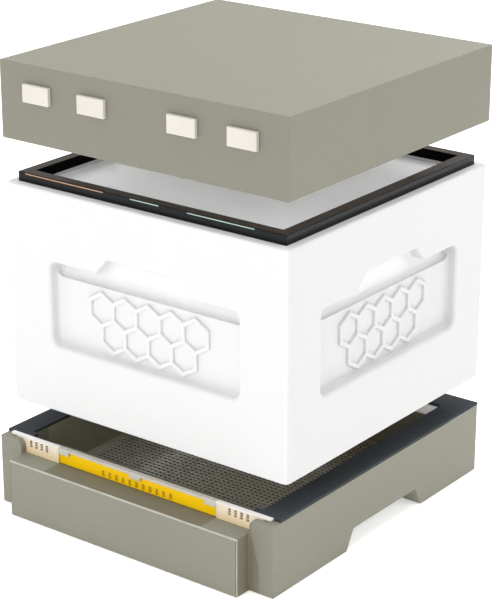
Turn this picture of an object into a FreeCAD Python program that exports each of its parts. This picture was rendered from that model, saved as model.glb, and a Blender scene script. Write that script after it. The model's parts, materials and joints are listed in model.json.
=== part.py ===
import FreeCAD, Part
import os
import math

# Foam beehive drawn with its sections lifted apart: floor, hive body, inner cover and roof.
# Working frame while drawing: X across the hive, -Y is the entrance side, +Z up,
# z = 0 on the ground, x = y = 0 at the centre of the hive body's footprint (millimetres).
# Every finished solid is moved by SHIFT_Y so that the stored origin is the centre of the
# whole footprint, landing block and tray pull included.

V = FreeCAD.Vector

# ---------------------------------------------------------------- driving dimensions
W2 = 250.0            # half width of the hive, X
D2 = 245.0            # half depth of body and roof, Y
FLOOR_H = 112.0       # floor, ground to top band
GAP_BODY = 45.0       # body lifted above the floor
BODY_H = 333.0        # body, skirt to outer ledge
RIM_H = 14.0          # plastic rim above the ledge
GAP_ROOF = 64.0       # roof lifted above the ledge
ROOF_H = 113.0        # roof height

# floor
BAND_T = 4.0          # plastic band on the foam walls
SIDE_WALL = 38.0      # foam side walls
BACK_BAND = 44.0      # band width at the back
BACK_WALL = 78.0      # foam back wall
BAND_FRONT_Y = -258.0
POST_FRONT_Y = -275.0
POST_W = 41.0
POST_R = 10.0
GROOVE_Y = -265.2     # groove behind the post fronts that takes the entrance plates
BLOCK_FRONT_Y = -302.0
LANDING_Z = 87.0
FRONT_WALL_Y = -212.0
ENTRANCE_X = 202.0    # half width of the entrance cut through the front wall
CUT_BASE = 96.0       # half length of the side cut-outs at the ground
CUT_TOP = 79.5
CUT_H = 30.0
CUT_MID_Y = -4.0

# screened bottom
SCREEN_X = 211.5
SCREEN_Y0, SCREEN_Y1 = -211.5, 166.5
SCREEN_IN = 13.5
SCREEN_Z0, SCREEN_Z1 = 26.0, 36.0
RIB_T = 1.3
RIB_W = 3.3
RIB_PITCH = 8.5
TRAY_SLOT_Z0, TRAY_SLOT_Z1 = 28.5, 33.5
TRAY_SLOT_X = 206.0
TRAY_X = 205.0
TRAY_Z0, TRAY_T = 29.8, 2.2

# entrance
GATE_X = 145.0
GATE_Y0, GATE_Y1 = -262.2, -259.8
PLATE_Y0, PLATE_Y1 = -264.8, -262.6
PLATE_END_X = 226.0
BEAD_END_X = 238.0
BEAD_Y0, BEAD_Z0 = -265.6, 109.2
RAIL_Y0, RAIL_Y1, RAIL_Z0 = -265.8, -257.2, 108.4
STEP_Y1 = -246.0      # back of the short steps that the side bands take inwards
SLOT_X = (167.8, 178.2, 188.6, 199.0)
WINDOWS, WINDOW_PITCH = 11, 12.4

# body
WALL_TOP_X, WALL_TOP_Y = 218.0, 213.0     # half opening above the cover shelf
CAVITY_X, CAVITY_Y = 212.0, 203.0         # half opening of the frame space
SHELF_DROP = 8.0
REST_DROP = 27.0
SKIRT, SKIRT_H = 13.5, 15.0
EDGE_R = 9.0
LIP_R = 3.0
RIM_INSET, RIM_W, RIM_SEAT = 14.0, 18.0, 1.0    # the rim sits in a shallow seat, so the ledge is a plain ring
REC_X = 168.0
REC_TOP, REC_BOT = 104.0, 231.0           # below the ledge
REC_CHANNEL = 25.0
REC_DEPTH, CHANNEL_DEPTH = 16.0, 26.0
REC_R = 13.0
GRIP_BASE, GRIP_TOP, GRIP_H = 83.0, 62.0, 23.0
FLOOR_SOFT, OUTLINE_SOFT, CELL_SOFT = 4.0, 5.0, 1.8
CELL_PITCH, CELL_STROKE, CELL_RELIEF = 42.0, 6.5, 4.5

# frames
FRAMES, FRAME_PITCH = 11, 38.0
BAR_W, BAR_T, EAR_T = 25.0, 20.0, 10.0
BAR_HALF, EAR_HALF = 200.0, 210.0
SIDE_T, SIDE_WIDE, SIDE_TALL = 8.0, 37.0, 80.0
BOTTOM_BAR_Z = 178.0
SHEET_T = 2.0

# roof
ROOF_REBATE = 15.0
ROOF_REB_X, ROOF_REB_Y = 237.0, 232.0
ROOF_IN_X, ROOF_IN_Y = 205.0, 200.0
ROOF_TOP = 28.0
VENT_X = (-178.5, -78.5, 78.5, 178.5)
VENT_DROP = 40.0
VENT_W, VENT_H = 38.0, 15.0
PLUG_W, PLUG_H, PLUG_T = 48.0, 26.0, 6.5

FRONT_REACH = BLOCK_FRONT_Y
PULL_REACH = 260.0
SHIFT_Y = -(FRONT_REACH + PULL_REACH) / 2.0

Z_BODY = FLOOR_H + GAP_BODY
Z_LEDGE = Z_BODY + BODY_H
Z_ROOF = Z_LEDGE + GAP_ROOF
Z_TOP = Z_ROOF + ROOF_H


# ---------------------------------------------------------------- helpers
def box(x0, x1, y0, y1, z0, z1):
    return Part.makeBox(x1 - x0, y1 - y0, z1 - z0, V(x0, y0, z0))


def prism(points, direction):
    wire = Part.makePolygon(points + [points[0]])
    return Part.Face(wire).extrude(direction)


def fillet_where(shape, radius, test):
    edges = []
    for e in shape.Edges:
        if len(e.Vertexes) == 2 and test(e.Vertexes[0].Point, e.Vertexes[1].Point):
            edges.append(e)
    return shape.makeFillet(radius, edges) if edges else shape


def vertical(a, b):
    return abs(a.x - b.x) < 1e-6 and abs(a.y - b.y) < 1e-6 and abs(a.z - b.z) > 1e-6


def upright_box(x0, x1, y0, y1, z0, z1, r):
    return fillet_where(box(x0, x1, y0, y1, z0, z1), r, vertical)


def group(solids):
    return Part.makeCompound(solids)


def single(shape):
    shape = shape.removeSplitter()
    solids = shape.Solids
    if len(solids) != 1:
        raise RuntimeError("expected one solid, found %d" % len(solids))
    return solids[0]


def mirror_x(shape):
    return shape.mirror(V(0, 0, 0), V(1, 0, 0))


os.makedirs("parts", exist_ok=True)
written = []


def export(name, shape):
    moved = shape.copy()
    moved.translate(V(0, SHIFT_Y, 0))
    for s in moved.Solids:
        if not s.isValid():
            raise RuntimeError("invalid solid in " + name)
    moved.exportStep("parts/%s.step" % name)
    written.append((name, len(moved.Solids), moved.BoundBox))


# ---------------------------------------------------------------- floor
foam_top = FLOOR_H - BAND_T
floor = upright_box(-W2, W2, BAND_FRONT_Y, D2, 0, foam_top, 2.0)
floor = floor.fuse(box(-W2, W2, BAND_FRONT_Y, BAND_FRONT_Y + 10, 0, foam_top))


def post():
    x0, x1 = W2 - POST_W, W2
    a = V(x0, POST_FRONT_Y, 0)
    b = V(x1, POST_FRONT_Y, 0)
    c = V(x1, POST_FRONT_Y, foam_top)
    d = V(x0 + POST_R, POST_FRONT_Y, foam_top)
    m = V(x0 + POST_R * (1 - math.sqrt(0.5)), POST_FRONT_Y, foam_top - POST_R * (1 - math.sqrt(0.5)))
    e = V(x0, POST_FRONT_Y, foam_top - POST_R)
    edges = [Part.makeLine(a, b), Part.makeLine(b, c), Part.makeLine(c, d),
             Part.Arc(d, m, e).toShape(), Part.makeLine(e, a)]
    front = Part.Face(Part.Wire(edges)).extrude(V(0, GROOVE_Y - POST_FRONT_Y, 0))
    low = box(x0, x1, GROOVE_Y, BAND_FRONT_Y, 0, LANDING_Z)
    back = box(PLATE_END_X + 0.5, x1, GROOVE_Y, BAND_FRONT_Y, LANDING_Z, foam_top)
    return front.fuse([low, back])


right_post = post()
floor = floor.fuse([right_post, mirror_x(right_post)])
block = box(-(W2 - POST_W), W2 - POST_W, BLOCK_FRONT_Y, BAND_FRONT_Y, 0, LANDING_Z)
block = fillet_where(block, 2.5, lambda a, b: abs(a.y - BLOCK_FRONT_Y) < 1e-6 and abs(b.y - BLOCK_FRONT_Y) < 1e-6
                     and (a.z > 1 or b.z > 1) and not (abs(a.z - b.z) < 1e-6 and a.z < 1))
floor = floor.fuse(block)
# well above the screen, opening under it, and the entrance through the front wall
inner_x = W2 - SIDE_WALL
floor = floor.cut(box(-inner_x, inner_x, FRONT_WALL_Y, D2 - BACK_WALL, SCREEN_Z0, foam_top + 1))
floor = floor.cut(box(-198, 198, -198, 153, -1, SCREEN_Z0 + 1))
floor = floor.cut(box(-ENTRANCE_X, ENTRANCE_X, BAND_FRONT_Y, FRONT_WALL_Y + 1, LANDING_Z, foam_top + 1))
floor = floor.cut(box(-inner_x, inner_x, STEP_Y1, FRONT_WALL_Y + 1, LANDING_Z, foam_top + 1))
# slot for the tray through the back wall
floor = floor.cut(box(-TRAY_SLOT_X, TRAY_SLOT_X, 150, D2 + 1, TRAY_SLOT_Z0, TRAY_SLOT_Z1))
# trapezoid cut-outs under both side walls
cut = prism([V(-W2 - 1, CUT_MID_Y - CUT_BASE, -0.001), V(-W2 - 1, CUT_MID_Y + CUT_BASE, -0.001),
             V(-W2 - 1, CUT_MID_Y + CUT_TOP, CUT_H), V(-W2 - 1, CUT_MID_Y - CUT_TOP, CUT_H)], V(2 * W2 + 2, 0, 0))
floor = floor.cut(cut)
floor = single(floor)
export("floor_box", floor)

# plastic band: both sides and the back, with short inward steps at the front
band = box(-W2, W2, BAND_FRONT_Y, D2, foam_top, FLOOR_H)
band = band.cut(box(-inner_x, inner_x, BAND_FRONT_Y - 1, D2 - BACK_BAND, foam_top - 1, FLOOR_H + 1))
for s in (-1, 1):
    x0, x1 = sorted((s * ENTRANCE_X, s * inner_x))
    band = band.fuse(box(x0, x1, BAND_FRONT_Y, STEP_Y1, foam_top, FLOOR_H))
band = single(band)
band = fillet_where(band, 1.0, lambda a, b: a.z > FLOOR_H - 1e-6 and b.z > FLOOR_H - 1e-6
                    and not (abs(a.x) < inner_x + 1 and abs(b.x) < inner_x + 1 and a.y < -200))
export("floor_top_band", band)

# screen frame, with the tray slot open at the back
frame = box(-SCREEN_X, SCREEN_X, SCREEN_Y0, SCREEN_Y1, SCREEN_Z0, SCREEN_Z1)
frame = frame.cut(box(-SCREEN_X + SCREEN_IN, SCREEN_X - SCREEN_IN, SCREEN_Y0 + SCREEN_IN, SCREEN_Y1 - SCREEN_IN,
                      SCREEN_Z0 - 1, SCREEN_Z1 + 1))
frame = frame.cut(box(-TRAY_SLOT_X, TRAY_SLOT_X, -206.0, SCREEN_Y1 + 1, TRAY_SLOT_Z0, TRAY_SLOT_Z1))
screw_y = (-190.0, -105.0, -22.0, 61.0, 145.0)
screw_x = 208.7
screws = []
holes = []
for s in (-1, 1):
    for y in screw_y:
        p = V(s * screw_x, y, 29.0)
        shank = Part.makeCylinder(1.3, SCREEN_Z1 + 2 * RIB_T - 29.0, p)
        head = Part.makeCylinder(2.7, 1.6, V(s * screw_x, y, SCREEN_Z1 + 2 * RIB_T))
        head = head.cut(Part.makeBox(4.2, 0.8, 0.8, V(s * screw_x - 2.1, y - 0.4, SCREEN_Z1 + 2 * RIB_T + 0.9)))
        screws.append(shank.fuse(head).removeSplitter().Solids[0])
        holes.append(Part.makeCylinder(1.3, 12.0, p))
frame = single(frame.cut(group(holes)))
export("screen_frame", frame)
export("screen_screws", group(screws))

# screen: two crossed sets of ribs, one on the other
sx, sy0, sy1 = SCREEN_X - 0.3, SCREEN_Y0 + 0.3, SCREEN_Y1 - 0.3
border = 9.0


def ribs(z0, along_y):
    plate = box(-sx, sx, sy0, sy1, z0, z0 + RIB_T)
    cuts = []
    gap = RIB_PITCH - RIB_W
    if along_y:
        n = int((2 * (sx - border) + RIB_W) // RIB_PITCH)
        start = -(n * RIB_PITCH - RIB_W) / 2.0
        for i in range(n):
            x = start + i * RIB_PITCH
            cuts.append(box(x, x + gap, sy0 + border, sy1 - border, z0 - 1, z0 + RIB_T + 1))
    else:
        n = int((sy1 - sy0 - 2 * border + RIB_W) // RIB_PITCH)
        start = (sy0 + sy1) / 2.0 - (n * RIB_PITCH - RIB_W) / 2.0
        for i in range(n):
            y = start + i * RIB_PITCH
            cuts.append(box(-sx + border, sx - border, y, y + gap, z0 - 1, z0 + RIB_T + 1))
    plate = plate.cut(group(cuts))
    plate = plate.cut(group(holes))
    return single(plate)


export("screen_ribs_long", ribs(SCREEN_Z1, True))
export("screen_ribs_cross", ribs(SCREEN_Z1 + RIB_T, False))

# inspection tray with a back flange that covers the slot, and its pull
tray = box(-TRAY_X, TRAY_X, -204.0, D2 + 0.8, TRAY_Z0, TRAY_Z0 + TRAY_T)
flange = box(-215, 215, D2 + 0.8, D2 + 3.4, 22.0, 41.0)
flange = fillet_where(flange, 3.0, lambda a, b: abs(a.x - b.x) < 1e-6 and abs(a.z - b.z) < 1e-6)
tray = single(tray.fuse(flange))
export("inspection_tray", tray)
pull = box(-45, 45, D2 + 3.4, PULL_REACH, 25.0, 38.0)
pull = pull.cut(box(-38, 38, D2 + 2, PULL_REACH - 4.0, 24.0, 33.5))
pull = single(pull)
pull = fillet_where(pull, 2.5, lambda a, b: abs(a.y - PULL_REACH) < 1e-6 and abs(b.y - PULL_REACH) < 1e-6
                    and abs(a.x - b.x) < 1e-6)
export("tray_pull", pull)


# ---------------------------------------------------------------- entrance strip
def end_plate():
    plate = box(GATE_X, PLATE_END_X, PLATE_Y0, PLATE_Y1, LANDING_Z, BEAD_Z0)
    bead = box(GATE_X, BEAD_END_X, BEAD_Y0, BAND_FRONT_Y - 0.2, BEAD_Z0, FLOOR_H)
    bead = fillet_where(bead, 2.6, lambda a, b: vertical(a, b) and a.x > BEAD_END_X - 1 and a.y < BEAD_Y0 + 1)
    solid = plate.fuse(bead)
    cuts = []
    for x in SLOT_X:
        for k in range(3):
            z = 97.4 + k * 3.7
            cuts.append(box(x - 2.6, x + 2.6, PLATE_Y0 - 1, PLATE_Y1 + 1, z, z + 3.1))
    return single(solid.cut(group(cuts)))


right_plate = end_plate()
export("entrance_plate_right", right_plate)
export("entrance_plate_left", mirror_x(right_plate))

# the guide rail over the gate: a thin top, a back wall and three front tabs that hold the gate
rail = box(-GATE_X, GATE_X, RAIL_Y0, RAIL_Y1, RAIL_Z0, FLOOR_H)
rail = rail.fuse(box(-GATE_X, GATE_X, RAIL_Y1 - 2.0, RAIL_Y1, 103.0, RAIL_Z0 + 0.1))
for xc in (-(GATE_X - 10), 0.0, GATE_X - 10):
    rail = rail.fuse(box(xc - 10, xc + 10, RAIL_Y0, PLATE_Y1 - 0.1, 102.6, RAIL_Z0 + 0.1))
rail = single(rail)
export("gate_guide_rail", rail)

gate = box(-GATE_X + 0.5, GATE_X - 0.5, GATE_Y0, GATE_Y1, LANDING_Z + 0.4, RAIL_Z0 - 0.4)
cuts = []
for i in range(WINDOWS):
    x = (i - (WINDOWS - 1) / 2.0) * WINDOW_PITCH
    for k in range(3):
        z = 89.0 + k * 3.1
        cuts.append(box(x - 2.6, x + 2.6, GATE_Y0 - 1, GATE_Y1 + 1, z, z + 2.4))
gate = single(gate.cut(group(cuts)))
export("entrance_gate", gate)

# ---------------------------------------------------------------- hive body
body = upright_box(-W2, W2, -D2, D2, Z_BODY, Z_LEDGE, EDGE_R)
body = body.makeFillet(LIP_R, [e for e in body.Edges if e.BoundBox.ZLength < 1e-3])
z_shelf = Z_LEDGE - SHELF_DROP
z_rest = Z_LEDGE - REST_DROP
body = body.cut(box(-WALL_TOP_X, WALL_TOP_X, -WALL_TOP_Y, WALL_TOP_Y, z_shelf, Z_LEDGE + 1))
body = body.cut(box(-CAVITY_X, CAVITY_X, -WALL_TOP_Y, WALL_TOP_Y, z_rest, z_shelf + 1))
body = body.cut(box(-CAVITY_X, CAVITY_X, -CAVITY_Y, CAVITY_Y, Z_BODY - 1, z_rest + 1))
body = body.cut(box(-(W2 - SKIRT), W2 - SKIRT, -(D2 - SKIRT), D2 - SKIRT, Z_BODY - 1, Z_BODY + SKIRT_H))
seat_x, seat_y = W2 - RIM_INSET + 0.3, D2 - RIM_INSET + 0.3
body = body.cut(box(-seat_x, seat_x, -seat_y, seat_y, Z_LEDGE - RIM_SEAT, Z_LEDGE + 1))


def edges_at_y(shape, y, test=None):
    found = []
    for e in shape.Edges:
        b = e.BoundBox
        if abs(b.YMin - y) < 1e-3 and abs(b.YMax - y) < 1e-3 and (test is None or test(b)):
            found.append(e)
    return found


def recess(face_y):
    """The moulded hand recess of one wall whose outside is at y = face_y (negative)."""
    top, bot = Z_LEDGE - REC_TOP, Z_LEDGE - REC_BOT
    out = 1.0

    def soft_box(x0, x1, z0, z1, depth, r):
        b = box(x0, x1, face_y - out, face_y + depth, z0, z1)
        return fillet_where(b, r, lambda p, q: abs(p.x - q.x) < 1e-6 and abs(p.z - q.z) < 1e-6)

    shallow = soft_box(-REC_X, REC_X, bot, top, REC_DEPTH, REC_R)
    shallow = shallow.makeFillet(FLOOR_SOFT, edges_at_y(shallow, face_y + REC_DEPTH))
    channel = soft_box(-REC_X, REC_X, top - REC_CHANNEL, top, CHANNEL_DEPTH, 11.0)
    grip = prism([V(-GRIP_BASE, face_y - out, top - 4), V(GRIP_BASE, face_y - out, top - 4),
                  V(GRIP_BASE, face_y - out, top), V(GRIP_TOP, face_y - out, top + GRIP_H),
                  V(-GRIP_TOP, face_y - out, top + GRIP_H), V(-GRIP_BASE, face_y - out, top)],
                 V(0, CHANNEL_DEPTH + out, 0))
    grip = fillet_where(grip, 9.0, lambda p, q: abs(p.x - q.x) < 1e-6 and abs(p.z - q.z) < 1e-6
                        and p.z > top + GRIP_H - 1)
    deep = channel.fuse(grip).removeSplitter()
    deep = deep.makeFillet(FLOOR_SOFT, edges_at_y(deep, face_y + CHANNEL_DEPTH))
    return shallow.fuse(deep).removeSplitter()


def soften(wall, face_y):
    """Rounds the outline of a recess where it meets the wall."""
    top, bot = Z_LEDGE - REC_TOP, Z_LEDGE - REC_BOT
    outline = edges_at_y(wall, face_y, lambda b: b.ZMin > bot - 2 and b.ZMax < top + GRIP_H + 2
                         and b.XMin > -REC_X - 2 and b.XMax < REC_X + 2)
    return wall.makeFillet(OUTLINE_SOFT, outline)


def comb_cells(face_y):
    """A raised patch of comb, its cells sharing their walls, on the plaque below the channel."""
    top, bot = Z_LEDGE - REC_TOP, Z_LEDGE - REC_BOT
    zc = (bot + top - REC_CHANNEL) / 2.0
    rows = ((5, zc + CELL_PITCH * math.sqrt(3) / 4), (4, zc - CELL_PITCH * math.sqrt(3) / 4))
    y0 = face_y + REC_DEPTH - CELL_RELIEF
    outer, inner = [], []
    for count, z in rows:
        for i in range(count):
            x = (i - (count - 1) / 2.0) * CELL_PITCH

            def hexagon(across, y):
                r = across / math.sqrt(3)
                return [V(x + r * math.sin(math.radians(60 * k)), y, z + r * math.cos(math.radians(60 * k)))
                        for k in range(6)]

            outer.append(prism(hexagon(CELL_PITCH + CELL_STROKE, y0), V(0, CELL_RELIEF + 3, 0)))
            inner.append(prism(hexagon(CELL_PITCH - CELL_STROKE, y0 - 1), V(0, CELL_RELIEF + 5, 0)))
    comb = outer[0].fuse(outer[1:]).removeSplitter().cut(group(inner)).removeSplitter()
    return comb.makeFillet(CELL_SOFT, edges_at_y(comb, y0)).Solids


def turned(shape, angle):
    c = shape.copy()
    c.rotate(V(0, 0, 0), V(0, 0, 1), angle)
    return c


for face, angles in ((-D2, (0, 180)), (-W2, (90, -90))):
    cutter, cells = recess(face), comb_cells(face)
    for angle in angles:
        body = turned(body, -angle)
        body = soften(body.cut(cutter).removeSplitter(), face)
        body = turned(body.fuse(cells), angle)
body = single(body)
export("body_shell", body)

# plastic rim
rx, ry = W2 - RIM_INSET, D2 - RIM_INSET
rim = upright_box(-rx, rx, -ry, ry, Z_LEDGE - RIM_SEAT, Z_LEDGE + RIM_H, 2.0)
rim = rim.cut(box(-rx + RIM_W, rx - RIM_W, -ry + RIM_W, ry - RIM_W, Z_LEDGE - 5, Z_LEDGE + RIM_H + 1))
rim = single(rim)
rim = fillet_where(rim, 1.2, lambda a, b: a.z > Z_LEDGE + RIM_H - 1e-6 and b.z > Z_LEDGE + RIM_H - 1e-6
                   and abs(a.x) > rx - 3 and abs(b.x) > rx - 3 and abs(a.y) < ry + 1 and abs(a.x - b.x) < 1e-6)
export("top_rim", rim)


def rest_rail(s):
    low = box(-CAVITY_X + 0.2, CAVITY_X - 0.2, CAVITY_Y, WALL_TOP_Y, z_rest, z_rest + 2)
    up = box(-CAVITY_X + 0.2, CAVITY_X - 0.2, WALL_TOP_Y - 1.6, WALL_TOP_Y, z_rest + 1, z_rest + 10)
    r = low.fuse(up).removeSplitter().Solids[0]
    return r if s > 0 else r.mirror(V(0, 0, 0), V(0, 1, 0))


export("frame_rest_back", rest_rail(1))
export("frame_rest_front", rest_rail(-1))

# ---------------------------------------------------------------- frames
z_ear = z_rest + 2
z_bar_top = z_ear + EAR_T
z_bar_bot = z_bar_top - BAR_T
tops, sides, bottoms, sheets = [], [], [], []
for i in range(FRAMES):
    xc = (i - (FRAMES - 1) / 2.0) * FRAME_PITCH
    t = box(xc - BAR_W / 2, xc + BAR_W / 2, -BAR_HALF, BAR_HALF, z_bar_bot, z_bar_top)
    t = t.fuse(box(xc - BAR_W / 2, xc + BAR_W / 2, -EAR_HALF, EAR_HALF, z_ear, z_bar_top))
    tops.append(t.removeSplitter().Solids[0])
    for s in (-1, 1):
        y0, y1 = sorted((s * BAR_HALF, s * (BAR_HALF - SIDE_T)))
        z1 = z_bar_bot
        zs = z1 - SIDE_TALL
        prof = [V(xc - BAR_W / 2, y0, BOTTOM_BAR_Z), V(xc + BAR_W / 2, y0, BOTTOM_BAR_Z),
                V(xc + BAR_W / 2, y0, zs - 10), V(xc + SIDE_WIDE / 2, y0, zs), V(xc + SIDE_WIDE / 2, y0, z1),
                V(xc - SIDE_WIDE / 2, y0, z1), V(xc - SIDE_WIDE / 2, y0, zs), V(xc - BAR_W / 2, y0, zs - 10)]
        sides.append(prism(prof, V(0, y1 - y0, 0)))
    half = BAR_HALF - SIDE_T
    bottoms.append(box(xc - 10, xc + 10, -half, half, BOTTOM_BAR_Z, BOTTOM_BAR_Z + 8))
    sheets.append(box(xc - SHEET_T / 2, xc + SHEET_T / 2, -half + 1, half - 1, BOTTOM_BAR_Z + 8, z_bar_bot))
export("frame_top_bars", group(tops))
export("frame_side_bars", group(sides))
export("frame_bottom_bars", group(bottoms))
export("foundation_sheets", group(sheets))

# ---------------------------------------------------------------- inner cover
cover = upright_box(-(WALL_TOP_X - 1.5), WALL_TOP_X - 1.5, -(WALL_TOP_Y - 1.5), WALL_TOP_Y - 1.5,
                    z_shelf + 0.4, z_shelf + 3.4, 3.0)
export("inner_cover", cover)

# ---------------------------------------------------------------- roof
roof = box(-W2, W2, -D2, D2, Z_ROOF, Z_TOP)
roof = roof.makeFillet(2.0, roof.Edges)
roof = roof.cut(box(-ROOF_REB_X, ROOF_REB_X, -ROOF_REB_Y, ROOF_REB_Y, Z_ROOF - 1, Z_ROOF + ROOF_REBATE))
roof = roof.cut(box(-ROOF_IN_X, ROOF_IN_X, -ROOF_IN_Y, ROOF_IN_Y, Z_ROOF, Z_TOP - ROOF_TOP))
zc = Z_TOP - VENT_DROP
for x in VENT_X:
    roof = roof.cut(box(x - VENT_W / 2, x + VENT_W / 2, -D2 - 1, -ROOF_IN_Y + 1, zc - VENT_H / 2, zc + VENT_H / 2))
roof = single(roof)
export("roof_shell", roof)

for k, x in enumerate(VENT_X):
    y1 = -D2 - 0.4
    y0 = y1 - PLUG_T
    head = box(x - PLUG_W / 2, x + PLUG_W / 2, y0, y1, zc - PLUG_H / 2, zc + PLUG_H / 2)
    head = fillet_where(head, 1.6, lambda a, b: not (a.y > y1 - 1e-6 and b.y > y1 - 1e-6)
                        and not abs(a.y - b.y) > 1e-6)
    sw, sh = VENT_W / 2 - 0.5, VENT_H / 2 - 0.5
    stem = box(x - sw, x + sw, y1 - 0.5, y1 + 32, zc - sh, zc + sh)
    stem = stem.cut(box(x - sw + 2, x + sw - 2, y1 + 1.5, y1 + 33, zc - sh + 2, zc + sh - 2))
    plug = single(head.fuse(stem))
    export("vent_plug_%d" % (k + 1), plug)

for name, n, b in written:
    print("%-22s %3d solid(s)  x %.1f..%.1f  y %.1f..%.1f  z %.1f..%.1f" % (
        name, n, b.XMin, b.XMax, b.YMin, b.YMax, b.ZMin, b.ZMax))
print("nodes", len(written), "shift y", SHIFT_Y)
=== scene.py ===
import json
import math
import bpy
import bmesh
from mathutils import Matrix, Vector


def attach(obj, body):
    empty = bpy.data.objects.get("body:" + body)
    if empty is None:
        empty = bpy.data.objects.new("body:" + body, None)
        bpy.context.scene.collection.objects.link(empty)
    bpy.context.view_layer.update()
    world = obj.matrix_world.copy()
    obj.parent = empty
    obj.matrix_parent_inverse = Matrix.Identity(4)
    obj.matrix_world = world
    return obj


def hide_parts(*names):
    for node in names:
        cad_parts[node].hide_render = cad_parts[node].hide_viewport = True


# ------------------------------------------------------------------ CAD frame
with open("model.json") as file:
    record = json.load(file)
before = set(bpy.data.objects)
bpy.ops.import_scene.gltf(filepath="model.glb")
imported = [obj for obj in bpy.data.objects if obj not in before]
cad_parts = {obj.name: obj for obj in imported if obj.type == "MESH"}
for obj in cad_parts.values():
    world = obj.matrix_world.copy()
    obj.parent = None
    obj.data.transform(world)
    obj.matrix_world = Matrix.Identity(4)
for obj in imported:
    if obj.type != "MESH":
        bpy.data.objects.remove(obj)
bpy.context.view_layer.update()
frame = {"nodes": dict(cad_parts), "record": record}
NODES = frame["nodes"]
BODY_OF = {}
for body_name, names in frame["record"]["behaviour"]["bodies"].items():
    for n in names:
        BODY_OF[n] = body_name


# ------------------------------------------------------------------ node helpers
class Mat:
    """A small builder for one procedural material."""

    def __init__(self, name):
        self.m = bpy.data.materials.new(name)
        self.m.use_nodes = True
        self.t = self.m.node_tree
        self.t.nodes.clear()
        self.out = self.t.nodes.new("ShaderNodeOutputMaterial")
        self.bsdf = self.t.nodes.new("ShaderNodeBsdfPrincipled")
        self.t.links.new(self.bsdf.outputs[0], self.out.inputs[0])
        self.tc = self.t.nodes.new("ShaderNodeTexCoord")
        self.co = self.tc.outputs["Object"]

    def add(self, kind, **inputs):
        n = self.t.nodes.new(kind)
        for k, v in inputs.items():
            if k.startswith("p_"):
                setattr(n, k[2:], v)
        for k, v in inputs.items():
            if k.startswith("p_"):
                continue
            key = int(k[1:]) if k[0] == "i" and k[1:].isdigit() else k.replace("_", " ")
            sock = n.inputs[key]
            if isinstance(v, bpy.types.NodeSocket):
                self.t.links.new(v, sock)
            else:
                sock.default_value = v
        return n

    def link(self, a, b):
        self.t.links.new(a, b)

    def noise(self, scale, detail=3.0, rough=0.5, co=None):
        return self.add("ShaderNodeTexNoise", Vector=co or self.co, Scale=scale, Detail=detail,
                        Roughness=rough).outputs[0]

    def voronoi(self, scale, feature="F1", out="Distance", co=None):
        n = self.t.nodes.new("ShaderNodeTexVoronoi")
        n.feature = feature
        n.inputs["Scale"].default_value = scale
        self.t.links.new(co or self.co, n.inputs["Vector"])
        return n.outputs[out]

    def stretch(self, x, y, z):
        return self.add("ShaderNodeMapping", Vector=self.co, Scale=(x, y, z)).outputs[0]

    def remap(self, value, a, b, c, d):
        n = self.add("ShaderNodeMapRange", i0=value)
        n.inputs[1].default_value, n.inputs[2].default_value = a, b
        n.inputs[3].default_value, n.inputs[4].default_value = c, d
        return n.outputs[0]

    def math(self, op, a, b=0.0):
        n = self.t.nodes.new("ShaderNodeMath")
        n.operation = op
        for i, v in ((0, a), (1, b)):
            if isinstance(v, bpy.types.NodeSocket):
                self.t.links.new(v, n.inputs[i])
            else:
                n.inputs[i].default_value = v
        return n.outputs[0]

    def mix(self, fac, a, b, blend="MIX"):
        n = self.t.nodes.new("ShaderNodeMix")
        n.data_type = "RGBA"
        n.blend_type = blend
        for i, v in ((0, fac), (6, a), (7, b)):
            if isinstance(v, bpy.types.NodeSocket):
                self.t.links.new(v, n.inputs[i])
            else:
                n.inputs[i].default_value = v if i == 0 else (*v[:3], 1.0)
        return n.outputs[2]

    def bump(self, height, strength, dist, normal=None):
        n = self.t.nodes.new("ShaderNodeBump")
        n.inputs["Strength"].default_value = strength
        n.inputs["Distance"].default_value = dist
        self.t.links.new(height, n.inputs["Height"])
        if normal is not None:
            self.t.links.new(normal, n.inputs["Normal"])
        return n.outputs[0]

    def axes(self):
        n = self.add("ShaderNodeSeparateXYZ", i0=self.co)
        return n.outputs[0], n.outputs[1], n.outputs[2]

    def inside(self, value, lo, hi, soft):
        """1 where lo < value < hi, with soft edges."""
        a = self.remap(value, lo - soft, lo + soft, 0.0, 1.0)
        b = self.remap(value, hi - soft, hi + soft, 1.0, 0.0)
        return self.math("MULTIPLY", a, b)

    def set(self, **kw):
        for k, v in kw.items():
            s = self.bsdf.inputs[k.replace("_", " ")]
            if isinstance(v, bpy.types.NodeSocket):
                self.t.links.new(v, s)
            else:
                s.default_value = v
        return self


def lin(r, g, b):
    """sRGB 0..255 to linear."""
    def f(c):
        c /= 255.0
        return c / 12.92 if c <= 0.04045 else ((c + 0.055) / 1.055) ** 2.4
    return f(r), f(g), f(b)


def scaled(c, k):
    return tuple(min(1.0, max(0.0, x * k)) for x in c)


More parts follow.
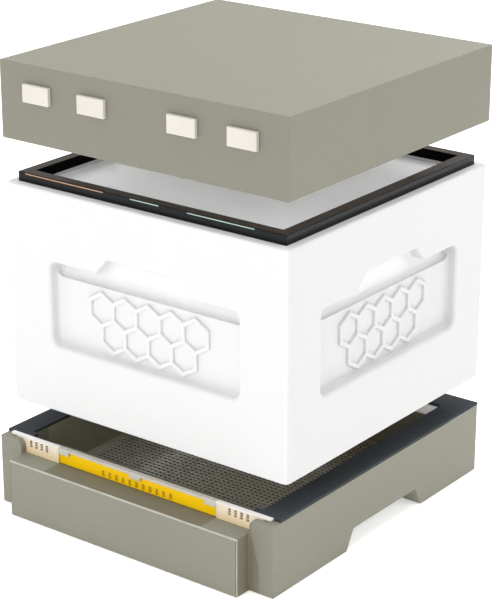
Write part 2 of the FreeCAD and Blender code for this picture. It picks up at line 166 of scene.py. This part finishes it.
# ------------------------------------------------------------------ materials
def foam(name, base, rough, bead, bead_bump, paint, extra=None):
    """Closed-cell foam. paint is True for the painted grey parts; extra recolours it by place."""
    m = Mat(name)
    cell = m.voronoi(1.0 / bead, "DISTANCE_TO_EDGE")
    dome = m.remap(cell, 0.0, 0.22, 0.0, 1.0)
    tint = m.voronoi(1.0 / bead, "F1", "Color")
    grain = m.add("ShaderNodeSeparateColor", i0=tint).outputs[0]
    cloud = m.noise(5.0, 4.0, 0.55)
    fine = m.noise(420.0, 3.0, 0.6)
    c = m.mix(m.remap(grain, 0.0, 1.0, 0.0, 0.16 if paint else 0.07), base, scaled(base, 0.80))
    c = m.mix(m.remap(cloud, 0.35, 0.75, 0.0, 0.30 if paint else 0.10), c, scaled(base, 0.88))
    if extra:
        c = extra(m, c, base)
    groove = m.remap(cell, 0.0, 0.10, 0.10 if paint else 0.05, 0.0)
    c = m.mix(groove, c, m.mix(1.0, c, (0.62, 0.62, 0.62), "MULTIPLY"))
    r = m.remap(fine, 0.3, 0.7, rough - 0.06, rough + 0.06)
    n1 = m.bump(dome, bead_bump, 0.0006)
    n2 = m.bump(fine, 0.10 if paint else 0.06, 0.0004, n1)
    m.set(Base_Color=c, Roughness=r, Normal=n2, Specular_IOR_Level=0.30 if paint else 0.25)
    return m.m


SY = 0.021                      # the hive body's centre lies this far behind the stored origin


def roof_paint(m, c, base):
    """The roof is painted outside only: inside its lip the foam is bare."""
    x, y, z = m.axes()
    rag = m.math("MULTIPLY", m.math("SUBTRACT", m.noise(60.0, 4.0, 0.65), 0.5), 0.006)
    ax = m.math("ADD", m.math("ABSOLUTE", x), rag)
    ay = m.math("ADD", m.math("ABSOLUTE", m.math("SUBTRACT", y, SY)), rag)
    f = m.math("MULTIPLY", m.remap(ax, 0.2362, 0.2372, 1.0, 0.0), m.remap(ay, 0.2312, 0.2322, 1.0, 0.0))
    f = m.math("MULTIPLY", f, m.remap(z, 0.6400, 0.6410, 1.0, 0.0))
    return m.mix(f, c, (0.92, 0.92, 0.91))


def body_paint(m, c, base):
    """Bare foam; the recess faces and deep grips are painted lighter, painted light against their shade, and the
    side walls are painted a little duller as painted shade.
    """
    x, y, z = m.axes()
    d1 = m.math("SUBTRACT", 0.250, m.math("ABSOLUTE", x))
    d2 = m.math("SUBTRACT", 0.245, m.math("ABSOLUTE", m.math("SUBTRACT", y, SY)))
    d = m.math("MINIMUM", d1, d2)
    # painted light: recess faces a touch lighter, the deep grips lighter still, against the shade in them
    c = m.mix(m.remap(d, 0.0012, 0.0040, 0.0, 1.0), c, (0.690, 0.690, 0.687))
    c = m.mix(m.remap(d, 0.0175, 0.0240, 0.0, 1.0), c, (0.73, 0.73, 0.727))
    # painted shade: the side walls a little duller than the front
    side = m.math("MULTIPLY", m.remap(d1, 0.0175, 0.0240, 1.0, 0.0), m.remap(m.math("SUBTRACT", d1, d2), -0.0015, 0.0015, 1.0, 0.0))
    return m.mix(side, c, m.mix(1.0, c, (0.91, 0.91, 0.91), "MULTIPLY"))


def floor_paint(m, c, base):
    """Landing board with a painted shadow in front of the gate, painted highlights on its edges, a little soil low
    down, painted light on the ledge over the back of the well, the well walls painted lighter, painted shade at the
    block's ends and a painted shadow on the right post."""
    x, y, z = m.axes()
    ax = m.math("ABSOLUTE", x)
    wob = m.math("MULTIPLY", m.math("SUBTRACT", m.noise(120.0, 3.0, 0.6), 0.5), 0.0016)
    xx = m.math("ADD", x, wob)
    # painted shadow on the landing board in front of the gate
    f = m.inside(xx, -0.1445, 0.1445, 0.0004)
    f = m.math("MULTIPLY", f, m.remap(m.math("ADD", y, wob), -0.2785, -0.2777, 0.0, 1.0))
    f = m.math("MULTIPLY", f, m.remap(y, -0.2300, -0.2290, 1.0, 0.0))
    f = m.math("MULTIPLY", f, m.remap(z, 0.0862, 0.0868, 0.0, 1.0))
    c = m.mix(m.math("MULTIPLY", f, 0.92), c, m.mix(1.0, c, (0.66, 0.63, 0.56), "MULTIPLY"))
    # painted shade on the ends of the landing block
    end = m.math("MULTIPLY", m.inside(ax, 0.2060, 0.2092, 0.0002), m.remap(y, -0.2542, -0.2538, 1.0, 0.0))
    end = m.math("MULTIPLY", end, m.remap(z, 0.0850, 0.0860, 1.0, 0.0))
    # painted shadow on the post beside the block's right end
    reach = m.math("ADD", m.remap(z, 0.040, 0.086, 0.2255, 0.2120), m.math("MULTIPLY", wob, 1.5))
    post_shadow = m.math("MULTIPLY", m.remap(m.math("SUBTRACT", x, reach), -0.0008, 0.0012, 1.0, 0.0), m.remap(x, 0.2070, 0.2080, 0.0, 1.0))
    post_shadow = m.math("MULTIPLY", post_shadow, m.remap(y, -0.2520, -0.2530, 0.0, 1.0))
    end = m.math("MAXIMUM", end, m.math("MULTIPLY", post_shadow, 0.9))
    c = m.mix(end, c, m.mix(1.0, c, (0.80, 0.73, 0.62), "MULTIPLY"))
    # painted light: the inner walls of the well lightened against their shade
    well = m.math("MULTIPLY", m.remap(ax, 0.2122, 0.2128, 1.0, 0.0), m.inside(z, 0.0300, 0.1076, 0.0002))
    well = m.math("MULTIPLY", well, m.inside(y, -0.1920, 0.1900, 0.0004))
    c = m.mix(well, c, scaled(base, 1.45))
    # painted highlights along the edges: front top edge and ends of the landing block, outer corners
    highlight_breakup = m.remap(m.noise(70.0, 3.0, 0.6), 0.25, 0.55, 0.55, 1.0)
    fr = m.remap(m.math("ADD", y, m.math("MULTIPLY", wob, 0.4)), -0.2789, -0.2785, 1.0, 0.0)
    top = m.math("MULTIPLY", fr, m.remap(z, 0.0852, 0.0856, 0.0, 1.0))
    side = m.math("MULTIPLY", m.remap(y, -0.2796, -0.2792, 1.0, 0.0), m.remap(ax, 0.2077, 0.2081, 0.0, 1.0))
    edge_highlight = m.math("MULTIPLY", m.math("MAXIMUM", top, side), highlight_breakup)
    c = m.mix(m.math("MULTIPLY", edge_highlight, 0.85), c, lin(186, 185, 176))
    # painted light: the ledge top over the back of the well lightened against the shade under the body
    ledge = m.math("MULTIPLY", m.remap(z, 0.1070, 0.1076, 0.0, 1.0), m.inside(y, 0.188, 0.300, 0.0002))
    c = m.mix(ledge, c, (0.80, 0.79, 0.76))
    low = m.math("MULTIPLY", m.remap(z, 0.0, 0.016, 0.30, 0.0), m.remap(m.noise(30.0, 4.0, 0.6), 0.4, 0.7, 0.0, 1.0))
    return m.mix(low, c, m.mix(1.0, c, (0.74, 0.68, 0.58), "MULTIPLY"))


def plate_paint(m, c, base):
    """Warmer towards the landing board; nearly white along the top of the bead as a painted highlight."""
    x, y, z = m.axes()
    w = m.math("MULTIPLY", m.math("SUBTRACT", m.noise(26.0, 3.0, 0.5), 0.5), 0.010)
    g = m.remap(m.math("ADD", z, w), 0.0875, 0.1085, 1.0, 0.0)
    c = m.mix(m.math("MULTIPLY", g, 0.80), c, lin(240, 214, 160))
    # painted highlight: the top of the bead nearly white
    return m.mix(m.remap(z, 0.1108, 0.1114, 0.0, 1.0), c, (0.80, 0.79, 0.775))


def rim_paint(m, c, base):
    """Thin pale lines painted just under the top edge of the rim's front side: painted highlights."""
    x, y, z = m.axes()
    # painted highlights along the rim's front top edge
    row = m.math("MULTIPLY", m.inside(z, 0.5014, 0.5028, 0.0002), m.remap(y, -0.2085, -0.2075, 1.0, 0.0))
    for lo, hi, tone in ((-0.222, -0.077, (190, 152, 124)), (-0.028, 0.022, (176, 196, 186)), (0.072, 0.184, (176, 196, 186))):
        c = m.mix(m.math("MULTIPLY", row, m.inside(x, lo, hi, 0.001)), c, lin(*tone))
    return c


def moulded(name, base, rough, grain=900.0, bump=0.10, var=0.08, spec=0.5, coat=0.0, extra=None):
    m = Mat(name)
    fine = m.noise(grain, 2.0, 0.5)
    soft = m.noise(14.0, 3.0, 0.5)
    c = m.mix(m.remap(soft, 0.35, 0.7, 0.0, 1.0), scaled(base, 1.0 + var * 0.5), scaled(base, 1.0 - var))
    m.set(Specular_IOR_Level=spec)
    if extra:
        c = extra(m, c, base)
    r = m.remap(m.noise(60.0, 3.0, 0.6), 0.3, 0.7, max(0.03, rough - 0.05), rough + 0.06)
    m.set(Base_Color=c, Roughness=r, Normal=m.bump(fine, bump, 0.0003))
    if coat:
        m.set(Coat_Weight=coat, Coat_Roughness=0.12)
    return m.m


def wood(name, light, dark, along):
    m = Mat(name)
    s = [60.0, 60.0, 60.0]
    s[along] = 3.0
    co = m.stretch(*s)
    grain = m.noise(1.6, 6.0, 0.62, co)
    s2 = [260.0, 260.0, 260.0]
    s2[along] = 9.0
    pore = m.noise(1.0, 4.0, 0.7, m.stretch(*s2))
    plank = m.noise(9.0, 1.0, 0.3, m.stretch(1.0, 0.05, 0.05) if along == 1 else m.stretch(1.0, 0.6, 0.05))
    c = m.mix(m.remap(grain, 0.32, 0.70, 0.0, 1.0), light, dark)
    c = m.mix(m.remap(pore, 0.52, 0.72, 0.0, 0.45), c, scaled(dark, 0.62))
    c = m.mix(m.remap(plank, 0.40, 0.60, 0.0, 0.35), c, scaled(light, 1.12))
    r = m.remap(grain, 0.3, 0.7, 0.55, 0.72)
    m.set(Base_Color=c, Roughness=r, Normal=m.bump(pore, 0.25, 0.0004), Specular_IOR_Level=0.35)
    return m.m


def wax(name, base):
    m = Mat(name)
    co = m.stretch(1.0, 1.0, 1.0)
    cell = m.voronoi(1.0 / 0.0052, "DISTANCE_TO_EDGE", co=co)
    wall = m.remap(cell, 0.02, 0.14, 1.0, 0.0)
    cloud = m.noise(11.0, 4.0, 0.6)
    c = m.mix(m.remap(cloud, 0.3, 0.7, 0.0, 1.0), base, scaled(base, 0.74))
    c = m.mix(m.math("MULTIPLY", wall, 0.35), c, scaled(base, 1.25))
    m.set(Base_Color=c, Roughness=0.42, Normal=m.bump(wall, 0.5, 0.0008), Specular_IOR_Level=0.45,
          Subsurface_Weight=0.15, Subsurface_Radius=(0.004, 0.0025, 0.001), Subsurface_Scale=1.0)
    return m.m


def steel(name):
    m = Mat(name)
    n = m.noise(700.0, 2.0, 0.5)
    c = m.mix(m.remap(m.noise(160.0, 3.0, 0.6), 0.3, 0.7, 0.0, 1.0), (0.62, 0.63, 0.65), (0.44, 0.45, 0.46))
    m.set(Base_Color=c, Metallic=1.0, Roughness=m.remap(n, 0.3, 0.7, 0.24, 0.42), Normal=m.bump(n, 0.12, 0.0002))
    return m.m


def milky(name, base):
    m = Mat(name)
    soft = m.noise(40.0, 3.0, 0.5)
    c = m.mix(m.remap(soft, 0.3, 0.7, 0.0, 1.0), base, scaled(base, 0.90))
    m.set(Base_Color=c, Roughness=m.remap(m.noise(500.0, 2.0, 0.5), 0.3, 0.7, 0.22, 0.36),
          Normal=m.bump(m.noise(300.0, 2.0, 0.5), 0.05, 0.0003), Specular_IOR_Level=0.5)
    return m.m


GREY = scaled(lin(139, 138, 124), 0.88)
MATS = {
    "foam_roof": foam("foam_grey_roof", scaled(GREY, 0.93), 0.62, 0.0036, 0.16, True, roof_paint),
    "foam_floor": foam("foam_grey_floor", scaled(GREY, 1.015), 0.62, 0.0036, 0.16, True, floor_paint),
    "foam_white": foam("foam_white", (0.685, 0.685, 0.682), 0.80, 0.0040, 0.14, False, body_paint),
    "band_anthracite": moulded("band_anthracite", lin(58, 63, 67), 0.70, bump=0.12, spec=0.08),
    "rim_black": moulded("rim_black", lin(14, 17, 19), 0.20, bump=0.05, spec=0.15, extra=rim_paint),
    # painted reflection: the rim's top faces tinted brown like the shaded roof underside above them
    "rim_top": moulded("rim_top", lin(46, 32, 16), 0.20, bump=0.05, spec=0.06),
    # painted shade: the rim's inner faces a darker, matte copy of its black
    "rim_inside_painted_shade": moulded("rim_inside_painted_shade", lin(5, 5, 6), 0.75, bump=0.05, spec=0.05),
    "screen_plastic": moulded("screen_plastic", lin(178, 178, 166), 0.14, bump=0.03, spec=0.9),
    "screw_steel": steel("screw_steel"),
    "tray_plastic": moulded("tray_plastic", lin(70, 70, 66), 0.45, bump=0.08, var=0.08, spec=0.3),
    "plate_cream": moulded("plate_cream", lin(232, 221, 203), 0.42, bump=0.08, var=0.05, extra=plate_paint),
    "rail_clear": milky("rail_clear", lin(196, 192, 182)),
    "gate_yellow": moulded("gate_yellow", lin(255, 205, 0), 0.40, bump=0.06, var=0.03, spec=0.2),
    "plug_white": moulded("plug_white", (0.60, 0.565, 0.52), 0.34, bump=0.05, var=0.05, spec=0.4),
    "rest_plastic": moulded("rest_plastic", (0.62, 0.61, 0.57), 0.40),
    "wood_long": wood("frame_wood_long", lin(214, 180, 132), lin(176, 136, 88), 1),
    "wood_tall": wood("frame_wood_tall", lin(214, 180, 132), lin(176, 136, 88), 2),
    "beeswax": wax("beeswax", lin(226, 172, 66)),
    # painted light: the inner cover made nearly white so that it reads lighter in the shade under the roof
    "cover_grey": moulded("cover_grey", (0.97, 0.97, 0.975), 0.36, bump=0.004, var=0.01),
}


# ------------------------------------------------------------------ pieces from the CAD nodes
def dress(node, mat, bevel=0.0, segments=2, limit=32.0, sharp=38.0, join=True, second=None, where=None):
    """A finished copy of one CAD node: merged, planar faces joined, edges softened, its own material.
    where() gives a face 0 for mat, or the number of the material in second that it takes."""
    src = NODES[node]
    bm = bmesh.new()
    bm.from_mesh(src.data)
    bm.transform(src.matrix_world)
    bmesh.ops.remove_doubles(bm, verts=bm.verts, dist=2e-6)
    if join:
        bmesh.ops.dissolve_limit(bm, angle_limit=math.radians(0.4), verts=bm.verts, edges=bm.edges)
    for f in bm.faces:
        f.smooth = True
        if where:
            f.material_index = int(where(f.calc_center_median(), f.normal))
    for e in bm.edges:
        if len(e.link_faces) == 2 and e.calc_face_angle(0.0) > math.radians(sharp):
            e.smooth = False
    me = bpy.data.meshes.new(node + "_look")
    bm.to_mesh(me)
    bm.free()
    ob = bpy.data.objects.new(node + "_look", me)
    bpy.context.scene.collection.objects.link(ob)
    me.materials.append(mat)
    for other in second or ():
        me.materials.append(other)
    if bevel > 0:
        b = ob.modifiers.new("soft", "BEVEL")
        b.limit_method = "ANGLE"
        b.angle_limit = math.radians(limit)
        b.width = bevel
        b.segments = segments
        b.use_clamp_overlap = True
        b.miter_outer = "MITER_ARC"
    w = ob.modifiers.new("normals", "WEIGHTED_NORMAL")
    w.keep_sharp = bevel <= 0
    w.weight = 60
    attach(ob, BODY_OF[node])
    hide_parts(node)
    return ob


dress("floor_box", MATS["foam_floor"], 0.0016, 4)
dress("floor_top_band", MATS["band_anthracite"], 0.0004, 2)
dress("screen_frame", MATS["screen_plastic"], 0.0004, 2)
dress("screen_ribs_long", MATS["screen_plastic"], join=False)
dress("screen_ribs_cross", MATS["screen_plastic"], join=False)
dress("screen_screws", MATS["screw_steel"], 0.0002, 2)
dress("inspection_tray", MATS["tray_plastic"], 0.0003, 2)
dress("tray_pull", MATS["tray_plastic"], 0.0006, 2)
dress("entrance_plate_left", MATS["plate_cream"], join=False)
dress("entrance_plate_right", MATS["plate_cream"], join=False)
dress("gate_guide_rail", MATS["rail_clear"], 0.0004, 2)
dress("entrance_gate", MATS["gate_yellow"], join=False)
dress("body_shell", MATS["foam_white"], sharp=42.0, join=False)
# the rim's top faces take the painted reflection, its inner faces the painted-shade black
dress("top_rim", MATS["rim_black"], 0.0006, 3, second=(MATS["rim_inside_painted_shade"], MATS["rim_top"]),
      where=lambda p, n: 2 if n.z > 0.9 and p.z > 0.5030 else
      (abs(n.z) < 0.5 and abs(p.x) < 0.2185 and abs(p.y - SY) < 0.2135))
dress("frame_rest_back", MATS["rest_plastic"], 0.0003, 2)
dress("frame_rest_front", MATS["rest_plastic"], 0.0003, 2)
dress("frame_top_bars", MATS["wood_long"], 0.0006, 2)
dress("frame_side_bars", MATS["wood_tall"], 0.0005, 2)
dress("frame_bottom_bars", MATS["wood_long"], 0.0005, 2)
dress("foundation_sheets", MATS["beeswax"], 0.0003, 1)
dress("inner_cover", MATS["cover_grey"], 0.0005, 2)
dress("roof_shell", MATS["foam_roof"], 0.0010, 3)
for k in (1, 2, 3, 4):
    dress("vent_plug_%d" % k, MATS["plug_white"], 0.0006, 3)


# ------------------------------------------------------------------ stage
def stage_floor():
    """White sweep that glows: 0.42 near the hive, lifting the contact shadow there, rising to 0.60 further out so
    that it stays white to the horizon.
    """
    me = bpy.data.meshes.new("stage_floor")
    s = 14.0
    me.from_pydata([(-s, -s, -0.0006), (s, -s, -0.0006), (s, s, -0.0006), (-s, s, -0.0006)], [], [(0, 1, 2, 3)])
    ob = bpy.data.objects.new("stage_floor", me)
    bpy.context.scene.collection.objects.link(ob)
    m = Mat("stage_white")
    n = m.noise(3.0, 2.0, 0.5)
    c = m.mix(m.remap(n, 0.3, 0.7, 0.0, 1.0), (0.94, 0.94, 0.94), (0.92, 0.92, 0.92))
    x, y, z = m.axes()
    r = m.math("SQRT", m.math("ADD", m.math("MULTIPLY", x, x), m.math("MULTIPLY", y, y)))
    glow = m.remap(r, 0.9, 3.6, 0.42, 0.60)
    m.set(Base_Color=c, Roughness=0.9, Specular_IOR_Level=0.0, Emission_Color=(1.0, 1.0, 1.0, 1.0),
          Emission_Strength=glow)
    me.materials.append(m.m)


stage_floor()

# a dim even fill; the white studio round the hive shows in the background and in gloss
world = bpy.data.worlds.new("studio")
bpy.context.scene.world = world
world.use_nodes = True
wt = world.node_tree
bg = wt.nodes["Background"]
bg.inputs[0].default_value = (1.0, 1.0, 1.0, 1.0)
path = wt.nodes.new("ShaderNodeLightPath")


def world_math(op, a, b):
    n = wt.nodes.new("ShaderNodeMath")
    n.operation = op
    for i, v in ((0, a), (1, b)):
        if isinstance(v, bpy.types.NodeSocket):
            wt.links.new(v, n.inputs[i])
        else:
            n.inputs[i].default_value = v
    return n.outputs[0]


FILL, GLOSS = 0.57, 0.85
level = world_math("MAXIMUM", path.outputs["Is Camera Ray"], world_math("MULTIPLY", path.outputs["Is Glossy Ray"], GLOSS))
wt.links.new(world_math("MAXIMUM", level, FILL), bg.inputs[1])

AIM = Vector((0.0, 0.0, 0.33))


def softbox(name, az, el, dist, size_x, size_y, power, aim=AIM, colour=(1, 1, 1)):
    d = bpy.data.lights.new(name, "AREA")
    d.shape = "RECTANGLE"
    d.size, d.size_y = size_x, size_y
    d.energy = power
    d.color = colour
    ob = bpy.data.objects.new(name, d)
    bpy.context.scene.collection.objects.link(ob)
    a, e = math.radians(az), math.radians(el)
    back = Vector((math.sin(a) * math.cos(e), -math.cos(a) * math.cos(e), math.sin(e)))
    ob.location = aim + back * dist
    ob.rotation_mode = "QUATERNION"
    ob.rotation_quaternion = (-back).to_track_quat("-Z", "Y")
    return ob


# name, azimuth, elevation, distance, width, height, watts
LIGHTS = (
    ("top", 10.0, 84.0, 3.2, 3.0, 3.0, 42.0),
    ("side", 102.0, 30.0, 3.4, 2.2, 1.8, 36.0),
    ("front", 2.0, 26.0, 3.6, 2.4, 1.4, 41.0),
    ("left", 268.0, 28.0, 3.4, 2.2, 1.6, 40.0),
    ("back", 184.0, 46.0, 3.4, 2.4, 2.0, 56.0),
)
for light in LIGHTS:
    softbox(*light)

# ------------------------------------------------------------------ camera
cam_data = bpy.data.cameras.new("camera")
cam_data.lens = 123.73
cam_data.sensor_width = 36.0
cam_data.sensor_fit = "AUTO"
cam_data.clip_start, cam_data.clip_end = 0.05, 60.0
cam = bpy.data.objects.new("camera", cam_data)
bpy.context.scene.collection.objects.link(cam)
cam.location = (1.7200, -2.2374, 1.3546)
caz, cel = math.radians(37.376), math.radians(20.492)
look = Vector((-math.sin(caz) * math.cos(cel), math.cos(caz) * math.cos(cel), -math.sin(cel)))
cam.rotation_mode = "QUATERNION"
cam.rotation_quaternion = look.to_track_quat("-Z", "Y")
bpy.context.scene.camera = cam
bpy.context.scene.view_settings.view_transform = "Standard"
bpy.context.scene.view_settings.look = "None"
